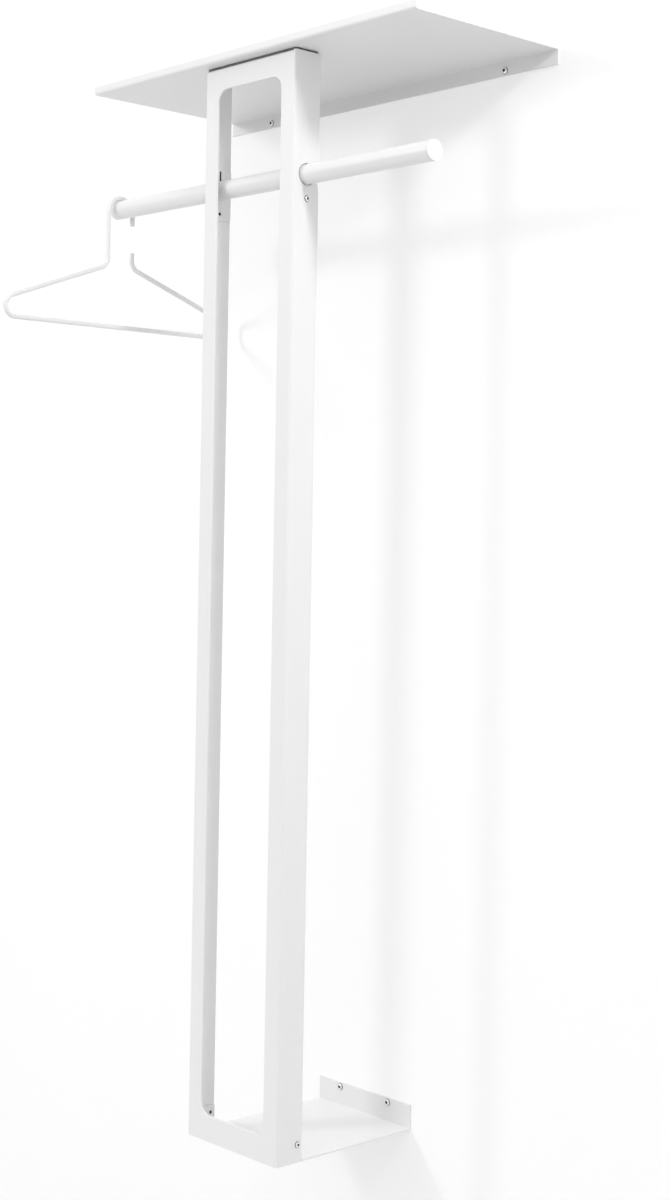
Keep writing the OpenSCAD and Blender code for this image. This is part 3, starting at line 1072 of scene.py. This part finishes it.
class COATRACK_OT_hanger(bpy.types.Operator):
    """Bend the open hanger from one length of coated wire"""

    bl_idname = "coat_rack.hanger"
    bl_label = "Hanger"

    def execute(self, context):
        size = context.scene.coat_rack_hanger
        low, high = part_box("hanger")
        middle = centre_of("hanger")
        r = size.wire / 2
        arch = size.neck_width / 2
        slope = size.shoulder_angle
        arch_z = high.z - r - arch
        corner = size.shoulder_radius * math.tan((QUARTER - slope) / 2)
        tip = (high.y - low.y) / 2 - r - size.tip_radius
        shoulder = (tip + size.tip_radius * math.sin(slope) - arch) / math.cos(slope) - corner
        neck = size.neck_height - corner
        stub = neck - size.short_leg - size.gap
        half_turn = QUARTER * 2
        sweep = half_turn - slope
        start = Vector((middle.x, middle.y + arch, arch_z - size.short_leg))
        way = (
            (size.short_leg, None, None),
            (None, arch, half_turn),
            (neck, None, None),
            (None, size.shoulder_radius, slope - QUARTER),
            (shoulder, None, None),
            (None, size.tip_radius, sweep),
            (2 * tip, None, None),
            (None, size.tip_radius, sweep),
            (shoulder, None, None),
            (None, size.shoulder_radius, slope - QUARTER),
            (stub, None, None),
        )
        bm = bmesh.new()
        end = placed(start, Z)
        ring = bmesh.ops.create_circle(bm, segments=size.sides, radius=r, matrix=end)["verts"]
        loop = edges_of(ring)
        first = bmesh.ops.contextual_create(bm, geom=loop)["faces"]
        place, heading = start, Z.copy()
        for run, radius, angle in way:
            if run:
                loop = stretch(bm, loop, heading * run)
                place = place + heading * run
                continue
            left = Matrix.Rotation(math.copysign(QUARTER, angle), 3, "X") @ heading
            centre = place + left * radius
            steps = max(4, round(size.steps * abs(angle) / half_turn))
            loop = fold(bm, loop, centre, X, angle, steps)
            turned = Matrix.Rotation(angle, 3, "X")
            place = centre + turned @ (place - centre)
            heading = turned @ heading
        last = bmesh.ops.contextual_create(bm, geom=loop)["faces"]
        bmesh.ops.recalc_face_normals(bm, faces=bm.faces[:])
        ends = [e for f in first + last for e in f.edges]
        soften(bm, ends, size.end_edge, steps=3)
        coat = powder_coat("wire coat", context.scene.coat_rack_finish.coat, rough=0.3, peel=0.6)
        piece("hanger_wire", bm, coat, "hanger")
        return {"FINISHED"}


class COATRACK_OT_stage(bpy.types.Operator):
    """Set up the white wall, the floor, the light and the camera"""

    bl_idname = "coat_rack.stage"
    bl_label = "Stage"

    def execute(self, context):
        stage = context.scene.coat_rack_stage
        upright = Matrix.Translation(-Y * stage.wall_lap) @ Matrix.Rotation(QUARTER, 4, "X")
        self.plane("wall", upright, stage.paint, stage)
        self.plane("floor", Matrix.Translation(Z * stage.floor_z), stage.floor, stage)
        self.light(context, stage)
        self.camera(context, stage)
        return {"FINISHED"}

    def paint(self, name, base, stage):
        """Matt paint that looks white to the camera and whose back can't be seen."""
        shader = Shader.material(name)
        camera, *others = self.rays(shader, "Camera", "Glossy", "Transmission")
        seen = sum(others, camera)
        tone = shader.blend(seen, (*base, 1.0), (stage.shown,) * 3 + (1.0,))
        matt = shader.add("ShaderNodeBsdfDiffuse", {}, {0: tone})
        white = shader.add("ShaderNodeEmission", {}, {0: (1.0, 1.0, 1.0, 1.0), 1: 1.0})
        ends = {0: shader.coords, 1: cad_middle}
        away = shader.add("ShaderNodeVectorMath", {"operation": "DISTANCE"}, ends, "Value")
        share = shader.change(
            away, stage.near, stage.far, stage.glow, 1.0, interpolation_type="SMOOTHSTEP"
        )
        front = shader.add("ShaderNodeMixShader", {}, {0: camera * share, 1: matt, 2: white})
        clear = shader.add("ShaderNodeBsdfTransparent")
        behind = shader.add("ShaderNodeNewGeometry", {}, {}, "Backfacing")
        both = shader.add("ShaderNodeMixShader", {}, {0: behind, 1: front, 2: clear})
        shader.feed(shader.end.inputs["Surface"], both)
        return shader.made

    def rays(self, shader, *kinds):
        """Whether a ray is of each kind."""
        return [shader.add("ShaderNodeLightPath", {}, {}, f"Is {kind} Ray") for kind in kinds]

    def plane(self, name, place, base, stage):
        """A wide painted square that isn't part of the object."""
        bm = bmesh.new()
        bmesh.ops.create_grid(bm, x_segments=1, y_segments=1, size=stage.spread, matrix=place)
        made = finished(name, bm, self.paint(f"{name} paint", base, stage))

    def light(self, context, stage):
        """Even light from all round, a soft key from the left and a smaller light on the right."""
        world = bpy.data.worlds.new("studio")
        context.scene.world = world
        world.use_nodes = True
        shader = Shader(world.node_tree, "ShaderNodeOutputWorld")
        seen = sum(self.rays(shader, "Camera", "Transmission"))
        way = shader.add("ShaderNodeTexCoord", output="Generated")
        slope = shader.add("ShaderNodeSeparateXYZ", {}, {0: way}, "Z")
        even = shader.change(slope, *stage.sky_band, stage.low_sky, stage.sky)
        strength = seen + even * (1.0 - seen)
        sky = shader.add("ShaderNodeBackground", {}, {0: (1.0, 1.0, 1.0, 1.0), 1: strength})
        shader.feed(shader.end.inputs["Surface"], sky)
        for name, place, size, power in (
            ("key light", stage.key_place, stage.key_size, stage.key),
            ("right light", stage.side_place, stage.side_size, stage.side),
        ):
            light = bpy.data.lights.new(name, "AREA")
            light.shape = "DISK"
            light.size = size
            light.energy = power
            lamp = bpy.data.objects.new(name, light)
            lamp.location = place
            lamp.rotation_mode = "QUATERNION"
            lamp.rotation_quaternion = (cad_middle - lamp.location).to_track_quat("-Z", "Y")
            context.scene.collection.objects.link(lamp)

    def camera(self, context, stage):
        """The photograph's view."""
        lens = bpy.data.cameras.new("camera")
        lens.lens = stage.lens
        lens.sensor_width = 36.0
        lens.shift_x, lens.shift_y = stage.shift
        lens.clip_end = 100.0
        camera = bpy.data.objects.new("camera", lens)
        level = Matrix.Rotation(QUARTER, 4, "X")
        turn = Matrix.Rotation(stage.heading, 4, "Z") @ Matrix.Rotation(stage.tilt, 4, "X")
        turn = turn @ Matrix.Rotation(stage.roll, 4, "Y") @ level
        camera.matrix_world = Matrix.Translation(stage.camera) @ turn
        context.scene.collection.objects.link(camera)
        context.scene.camera = camera
        context.scene.view_settings.view_transform = "Standard"


class COATRACK_PT_panel(bpy.types.Panel):
    """Lists the pieces of the coat rack"""

    bl_label = "Coat Rack"
    bl_idname = "COATRACK_PT_panel"
    bl_space_type = "VIEW_3D"
    bl_region_type = "UI"
    bl_category = "Coat Rack"

    def draw(self, context):
        for name, group in SETTINGS.items():
            box = self.layout.box()
            box.label(text=group.__doc__)
            for prop in group.__annotations__:
                box.prop(getattr(context.scene, name), prop)
        for operator in OPERATORS:
            self.layout.operator(operator.bl_idname)


SETTINGS = {
    "coat_rack_sheet": SheetSettings,
    "coat_rack_rod": RodSettings,
    "coat_rack_hanger": HangerSettings,
    "coat_rack_screws": ScrewSettings,
    "coat_rack_finish": FinishSettings,
    "coat_rack_stage": StageSettings,
}
OPERATORS = (
    COATRACK_OT_stage,
    COATRACK_OT_shelf,
    COATRACK_OT_spacer,
    COATRACK_OT_studs,
    COATRACK_OT_frame,
    COATRACK_OT_foot_bracket,
    COATRACK_OT_rod,
    COATRACK_OT_rod_brackets,
    COATRACK_OT_side_screws,
    COATRACK_OT_wall_screws,
    COATRACK_OT_hanger,
)


def register():
    for cls in (*SETTINGS.values(), *OPERATORS, COATRACK_PT_panel):
        bpy.utils.register_class(cls)
    for name, group in SETTINGS.items():
        setattr(bpy.types.Scene, name, PointerProperty(type=group))


def unregister():
    for name in SETTINGS:
        delattr(bpy.types.Scene, name)
    for cls in (COATRACK_PT_panel, *reversed(OPERATORS), *reversed(SETTINGS.values())):
        bpy.utils.unregister_class(cls)


def main():
    register()
    for operator in OPERATORS:
        group, name = operator.bl_idname.split(".")
        getattr(getattr(bpy.ops, group), name)()


if __name__ == "__main__":
    main()
